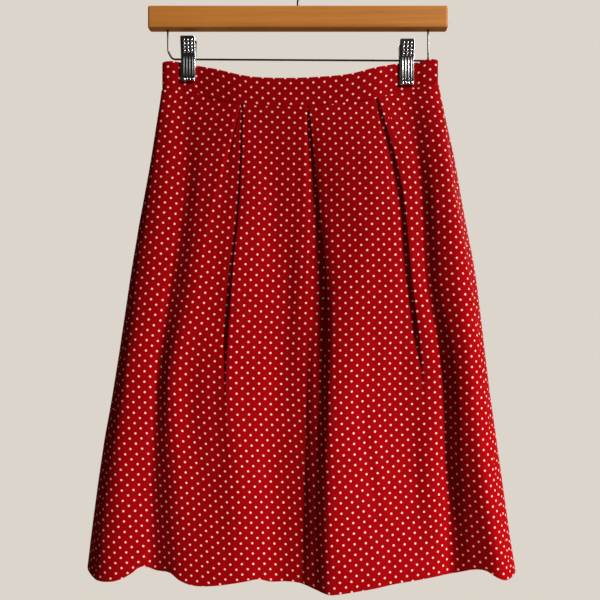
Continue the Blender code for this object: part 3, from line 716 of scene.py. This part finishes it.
def wood():
    """Straight-grained honey brown wood, the grain along X."""
    material, nodes, links, shader = new_material("oiled_wood")
    place = nodes.new("ShaderNodeTexCoord")

    def stretched(scale, distort=0.0):
        mapping = nodes.new("ShaderNodeMapping")
        mapping.inputs["Scale"].default_value = scale
        links.new(place.outputs["Object"], mapping.inputs["Vector"])
        return mapping.outputs[0]

    bands_ = noise_node(nodes, links, stretched((3.0, 90.0, 110.0)), 1.0, 4.0, 0.62)
    fibres = noise_node(nodes, links, stretched((16.0, 900.0, 1100.0)), 1.0, 3.0, 0.6)
    patches = noise_node(nodes, links, stretched((7.0, 20.0, 24.0)), 1.0, 2.0)
    colour = mixed(
        nodes, links, ranged(nodes, links, bands_, 0.34, 0.66, 0.0, 1.0), (0.375, 0.122, 0.0135), (0.515, 0.190, 0.031)
    )
    colour = mixed(
        nodes, links, ranged(nodes, links, fibres, 0.5, 0.72, 0.0, 0.45), colour, (0.27, 0.078, 0.009)
    )
    colour = mixed(
        nodes, links, ranged(nodes, links, patches, 0.35, 0.7, 0.0, 0.35), colour, (0.58, 0.228, 0.042)
    )
    links.new(colour, shader.inputs["Base Color"])
    links.new(ranged(nodes, links, fibres, 0.3, 0.7, 0.42, 0.6), shader.inputs["Roughness"])
    shader.inputs["Coat Weight"].default_value = 0.03
    shader.inputs["Specular IOR Level"].default_value = 0.25
    shader.inputs["Coat Roughness"].default_value = 0.35
    bump = nodes.new("ShaderNodeBump")
    bump.inputs["Strength"].default_value = 0.25
    bump.inputs["Distance"].default_value = 0.0003
    links.new(fibres, bump.inputs["Height"])
    links.new(bump.outputs["Normal"], shader.inputs["Normal"])
    return material


def metal(name, base, low, high, scale):
    """Bright metal with fine marks in its polish."""
    material, nodes, links, shader = new_material(name)
    place = nodes.new("ShaderNodeTexCoord")
    marks = noise_node(nodes, links, place.outputs["Object"], scale, 4.0, 0.65)
    shade = mixed(nodes, links, marks, tuple(0.86 * b for b in base), base)
    links.new(shade, shader.inputs["Base Color"])
    links.new(ranged(nodes, links, marks, 0.3, 0.7, low, high), shader.inputs["Roughness"])
    shader.inputs["Metallic"].default_value = 1.0
    bump = nodes.new("ShaderNodeBump")
    bump.inputs["Strength"].default_value = 0.08
    bump.inputs["Distance"].default_value = 0.0001
    links.new(marks, bump.inputs["Height"])
    links.new(bump.outputs["Normal"], shader.inputs["Normal"])
    return material


# ---------------------------------------------------------------- hanger
BAR_TOP, BAR_HEIGHT = -60.0, 26.8
HOOK_WIRE_R, HOOK_R, HOOK_STEM_END = 1.5, 21.0, -75.5
WIRE_R, LEG_TOP, LEG_LEFT, LEG_RIGHT = 1.1, -78.0, -152.9, 152.4
WIRE_LEFT_Z, WIRE_RIGHT_Z = -120.9, -122.6
CLIP_W, CLIP_T, BARREL_LENGTH = 16.8, 1.0, 15.0
CLIPS = [
    # name,        x,      top,   pivot,  bottom
    ("clip_left", -128.4, -96.3, -121.0, -147.4),
    ("clip_right", 127.0, -99.8, -122.5, -151.6),
]


def swept(name, path, radius, sides, material, node, taper=None):
    """A round wire along the path, with rounded ends."""
    path = np.array(path, float)
    along = np.gradient(path, axis=0)
    along /= np.linalg.norm(along, axis=1)[:, None]
    side = np.cross(along[0], (0, 1, 0))
    if np.linalg.norm(side) < 0.1:
        side = np.cross(along[0], (0, 0, 1))
    side /= np.linalg.norm(side)
    mesh = bmesh.new()
    rings = []
    last = len(path) - 1
    angles = [2 * math.pi * k / sides for k in range(sides)]
    for i, (p, t) in enumerate(zip(path, along)):
        side = side - t * np.dot(side, t)
        side /= np.linalg.norm(side)
        other = np.cross(t, side)
        sets = [(0.0, 1.0)]
        if i == 0:
            sets = [(-0.8, 0.35), (-0.5, 0.8), (0.0, 1.0)]
        elif i == last:
            sets = [(0.0, 1.0), (0.5, 0.8), (0.8, 0.35)]
        for shift, share in sets:
            centre = p + t * shift * radius * 0.6
            rings.append(
                [
                    mesh.verts.new((centre + (math.cos(a) * side + math.sin(a) * other) * radius * share) * MM)
                    for a in angles
                ]
            )
    for a, b in zip(rings, rings[1:]):
        for k in range(sides):
            n = (k + 1) % sides
            mesh.faces.new((a[k], a[n], b[n], b[k]))
    mesh.faces.new(list(reversed(rings[0])))
    mesh.faces.new(rings[-1])
    return placed(name, mesh, material, node, 50)


def placed(name, mesh, material, node, smooth):
    bmesh.ops.recalc_face_normals(mesh, faces=mesh.faces)
    data = bpy.data.meshes.new(name)
    mesh.to_mesh(data)
    mesh.free()
    data.materials.append(material)
    data.shade_smooth()
    data.set_sharp_from_angle(angle=math.radians(smooth))
    piece = bpy.data.objects.new(name, data)
    bpy.context.scene.collection.objects.link(piece)
    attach(piece, "root")
    if node:
        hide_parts(node)
    return piece


def bezier(p0, p1, p2, p3, steps):
    out = []
    for k in range(steps + 1):
        t = k / steps
        w = ((1 - t) ** 3, 3 * t * (1 - t) ** 2, 3 * t * t * (1 - t), t**3)
        out.append(tuple(sum(wi * p[a] for wi, p in zip(w, (p0, p1, p2, p3))) for a in (0, 1, 2)))
    return out


def hook_points():
    centre = -(HOOK_R - HOOK_WIRE_R)
    start = math.radians(-50)
    join = (HOOK_R * math.cos(start), 0, centre + HOOK_R * math.sin(start))
    tangent = (-math.sin(start), math.cos(start))
    points = [(0, 0, z) for z in np.linspace(HOOK_STEM_END, -54.6, 8)]
    points += bezier(
        (0, 0, -54), (0, 0, -46), (join[0] - 8 * tangent[0], 0, join[2] - 8 * tangent[1]), join, 18
    )
    for degrees in range(-46, 203, 4):
        a = math.radians(degrees)
        points.append((HOOK_R * math.cos(a), 0, centre + HOOK_R * math.sin(a)))
    return points


def trapeze_points():
    def corner(before, at, after, reach, steps=12):
        a, b, c = (np.array(p, float) for p in (before, after, at))
        a = c + (a - c) / np.linalg.norm(a - c) * reach
        b = c + (b - c) / np.linalg.norm(b - c) * reach
        return [
            tuple((1 - t) ** 2 * a + 2 * t * (1 - t) * c + t * t * b)
            for t in np.linspace(0, 1, steps + 1)
        ]

    lt, rt = (LEG_LEFT, 0, LEG_TOP), (LEG_RIGHT, 0, LEG_TOP)
    lb = (LEG_LEFT + 0.6, 0, -112.0)
    lk = (LEG_LEFT + 5.6, 0, WIRE_LEFT_Z)
    rb = (LEG_RIGHT + 0.3, 0, WIRE_RIGHT_Z)
    return (
        [lt]
        + corner(lt, lb, lk, 3.5)
        + corner(lb, lk, rb, 3.5)
        + [(0, 0, (WIRE_LEFT_Z + WIRE_RIGHT_Z) / 2)]
        + corner(lk, rb, rt, 4.0)
        + [rt]
    )


def clip_plate(name, node, x, top, pivot, bottom, side, material):
    """One pressed plate: pips for the fingers above, ribs below, edges rolled back, and a lip
    that turns out at the bottom. side is -1 for the front."""
    middle = (pivot + bottom) / 2
    profile = np.array(
        [
            (9.0, top),
            (8.5, top - 3.0),
            (6.0, (top + pivot) / 2),
            (3.8, pivot + 4.0),
            (3.3, pivot),
            (3.4, pivot - 5.0),
            (3.6, middle),
            (3.4, bottom + 8.0),
            (3.0, bottom + 3.6),
            (4.2, bottom),
        ]
    )
    arc = np.concatenate([[0], np.cumsum(np.linalg.norm(np.diff(profile, axis=0), axis=1))])
    down = np.linspace(0, arc[-1], 150)
    line = np.stack([through(arc, profile[:, 0], down), through(arc, profile[:, 1], down)], axis=1)
    along = np.gradient(line, axis=0)
    along /= np.linalg.norm(along, axis=1)[:, None]
    normal = np.stack([-along[:, 1], along[:, 0]], axis=1)  # away from the cloth
    across = np.linspace(-1, 1, 61)
    raised = np.zeros((len(down), len(across)))
    z = line[:, 1][:, None]
    u = across[None] * CLIP_W / 2
    for row in range(4):
        for column in (-1, 0, 1):
            centre = top - 4.9 - 3.9 * row
            distance = np.hypot(u - column * 4.3, z - centre)
            raised += 1.0 * np.sqrt(np.clip(1 - (distance / 1.5) ** 2, 0, 1))
    rib_top, rib_low = pivot + 3.0, bottom + 4.6
    for rib in (-1.5, -0.5, 0.5, 1.5):
        window = np.clip((rib_top - z) / 2.5, 0, 1) * np.clip((z - rib_low) / 2.0, 0, 1)
        window = window * (2 - window)
        raised += 0.17 * window * (1 + np.cos(np.pi * np.clip((u - rib * 3.4) / 0.95, -1, 1)))
        tooth = np.hypot(u - rib * 3.4, z - (bottom + 2.7))
        raised += 0.9 * np.sqrt(np.clip(1 - (tooth / 1.35) ** 2, 0, 1))
    edge = np.clip((np.abs(across) - 0.93) / 0.07, 0, 1) ** 2
    outer = raised - 0.5 * edge[None]
    inner = raised * 0.0 - 0.5 * edge[None]
    corner = np.minimum(down, arc[-1] - down)
    narrow = 1 - 0.09 * np.clip(1 - corner / 1.6, 0, 1) ** 2
    mesh = bmesh.new()
    layers = []
    for height, base in ((outer, CLIP_T / 2), (inner, -CLIP_T / 2)):
        layer = []
        for r in range(len(down)):
            row = []
            for c in range(len(across)):
                lift = base + height[r, c]
                row.append(
                    mesh.verts.new(
                        (
                            (x + across[c] * CLIP_W / 2 * narrow[r]) * MM,
                            side * (line[r, 0] + normal[r, 0] * lift) * MM,
                            (line[r, 1] + normal[r, 1] * lift) * MM,
                        )
                    )
                )
            layer.append(row)
        layers.append(layer)
    out, inn = layers
    rows, columns = len(down), len(across)
    for r in range(rows - 1):
        for c in range(columns - 1):
            mesh.faces.new((out[r][c], out[r + 1][c], out[r + 1][c + 1], out[r][c + 1]))
            mesh.faces.new((inn[r][c], inn[r][c + 1], inn[r + 1][c + 1], inn[r + 1][c]))
    for c in range(columns - 1):
        mesh.faces.new((out[0][c], out[0][c + 1], inn[0][c + 1], inn[0][c]))
        mesh.faces.new((out[-1][c], inn[-1][c], inn[-1][c + 1], out[-1][c + 1]))
    for r in range(rows - 1):
        mesh.faces.new((out[r][0], inn[r][0], inn[r + 1][0], out[r + 1][0]))
        mesh.faces.new((out[r][-1], out[r + 1][-1], inn[r + 1][-1], inn[r][-1]))
    return placed(name, mesh, material, node, 50)


def spring(name, node, x, pivot, material):
    """The coil on the wire that closes the clip."""
    turns, steps = 13, 20
    path = []
    for k in range(turns * steps + 1):
        a = 2 * math.pi * k / steps
        path.append(
            (
                x - BARREL_LENGTH / 2 + BARREL_LENGTH * k / (turns * steps),
                1.85 * math.cos(a),
                pivot + 1.85 * math.sin(a),
            )
        )
    return swept(name, path, 0.42, 8, material, node)


def hanger():
    chrome = metal("chromed_steel", (0.70, 0.70, 0.72), 0.20, 0.25, 900.0)
    steel = metal("darkened_steel", (0.10, 0.095, 0.09), 0.26, 0.38, 700.0)
    oiled = wood()
    for name in ("hanger_bar",):
        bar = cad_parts[name]
        bar.data.materials.clear()
        bar.data.materials.append(oiled)
    swept("hook_wire", hook_points(), HOOK_WIRE_R, 20, steel, "hook")
    swept("trapeze", trapeze_points(), WIRE_R, 16, steel, "trapeze_wire")
    for name, x, top, pivot, bottom in CLIPS:
        for part, side in (("front", -1), ("back", 1)):
            clip_plate(f"{name}_{part}_plate", f"{name}_{part}", x, top, pivot, bottom, side, chrome)
        spring(f"{name}_spring", f"{name}_barrel", x, pivot, chrome)


# ---------------------------------------------------------------- room
def area_light(name, place, aim, size, power, tint):
    data = bpy.data.lights.new(name, "AREA")
    data.shape = "DISK"
    data.size = size
    data.energy = power
    data.color = tint
    lamp = bpy.data.objects.new(name, data)
    lamp.location = place
    direction = Vector(aim) - Vector(place)
    lamp.rotation_euler = direction.to_track_quat("-Z", "Y").to_euler()
    bpy.context.scene.collection.objects.link(lamp)
    lamp.visible_camera = False
    return lamp


def room():
    scene = bpy.context.scene
    scene.view_settings.view_transform = "Standard"
    scene.view_settings.look = "None"
    world = bpy.data.worlds.new("studio")
    scene.world = world
    world.use_nodes = True
    nodes, links = world.node_tree.nodes, world.node_tree.links
    nodes.clear()
    output = nodes.new("ShaderNodeOutputWorld")
    seen, dim, dark = (nodes.new("ShaderNodeBackground") for _ in range(3))
    shiny, choose = (nodes.new("ShaderNodeMixShader") for _ in range(2))
    seen.inputs["Color"].default_value = (0.72, 0.665, 0.60, 1.0)
    seen.inputs["Strength"].default_value = 1.0
    dim.inputs["Color"].default_value = (1.0, 0.97, 0.94, 1.0)
    dim.inputs["Strength"].default_value = FILL
    path = nodes.new("ShaderNodeLightPath")
    dark.inputs["Color"].default_value = (1.0, 0.95, 0.9, 1.0)
    dark.inputs["Strength"].default_value = 0.012
    links.new(path.outputs["Is Glossy Ray"], shiny.inputs[0])
    links.new(dim.outputs[0], shiny.inputs[1])
    links.new(dark.outputs[0], shiny.inputs[2])
    links.new(path.outputs["Is Camera Ray"], choose.inputs[0])
    links.new(shiny.outputs[0], choose.inputs[1])
    links.new(seen.outputs[0], choose.inputs[2])
    links.new(choose.outputs[0], output.inputs["Surface"])

    # a pale floor under the hanging part, thinning out to nothing at its edge
    mesh = bmesh.new()
    bmesh.ops.create_circle(mesh, cap_ends=True, segments=96, radius=1.9)
    data = bpy.data.meshes.new("floor")
    mesh.to_mesh(data)
    mesh.free()
    floor = bpy.data.objects.new("floor", data)
    floor.location = (0, 0, -1.6)
    bpy.context.scene.collection.objects.link(floor)
    material, fn, fl, shader = new_material("pale_floor")
    place = fn.new("ShaderNodeTexCoord")
    length = fn.new("ShaderNodeVectorMath")
    length.operation = "LENGTH"
    fl.new(place.outputs["Object"], length.inputs[0])
    fl.new(ranged(fn, fl, length.outputs["Value"], 1.0, 1.85, 1.0, 0.0, smooth=True), shader.inputs["Alpha"])
    grain = noise_node(fn, fl, place.outputs["Object"], 30.0, 3.0)
    fl.new(mixed(fn, fl, grain, (0.70, 0.66, 0.61), (0.76, 0.72, 0.67)), shader.inputs["Base Color"])
    shader.inputs["Roughness"].default_value = 0.9
    data.materials.append(material)


FILL = 0.10
KEY_FROM, KEY_UP = 54.0, 34.0


def from_key(aim, distance, up):
    a, e = math.radians(KEY_FROM), math.radians(up)
    return (
        aim[0] + distance * math.sin(a) * math.cos(e),
        aim[1] - distance * math.cos(a) * math.cos(e),
        aim[2] + distance * math.sin(e),
    )


def lights():
    # a lamp high on the right, and a lower one beside it that reaches only the skirt's lower half
    aim = (0.02, 0.0, -0.36)
    area_light("key", from_key(aim, 2.7, KEY_UP), aim, 0.42, 105.0, (1.0, 0.975, 0.94))
    aim = (0.02, 0.0, -0.86)
    data = bpy.data.lights.new("low", "SPOT")
    data.energy = 330.0
    data.color = (1.0, 0.975, 0.94)
    data.shadow_soft_size = 0.2
    data.spot_size = math.radians(26)
    data.spot_blend = 1.0
    lamp = bpy.data.objects.new("low", data)
    lamp.location = from_key(aim, 3.0, 12.0)
    lamp.rotation_euler = (Vector(aim) - lamp.location).to_track_quat("-Z", "Y").to_euler()
    bpy.context.scene.collection.objects.link(lamp)
    area_light("behind", (1.5, 1.5, 0.5), (0, 0, -0.4), 0.8, 34.0, (1.0, 0.98, 0.96))


def camera():
    data = bpy.data.cameras.new("camera")
    data.sensor_width = 36.0
    data.lens = 18.0 / math.tan(math.radians(22.5))
    cam = bpy.data.objects.new("camera", data)
    cam.location = (VIEW_X * MM, -VIEW_FROM * MM, -0.40309)
    cam.rotation_euler = (math.radians(90), 0, 0)
    bpy.context.scene.collection.objects.link(cam)
    bpy.context.scene.camera = cam


camera()
room()
lights()
cloth = crepe()
skirt(cloth)
bands(cloth)
hanger()
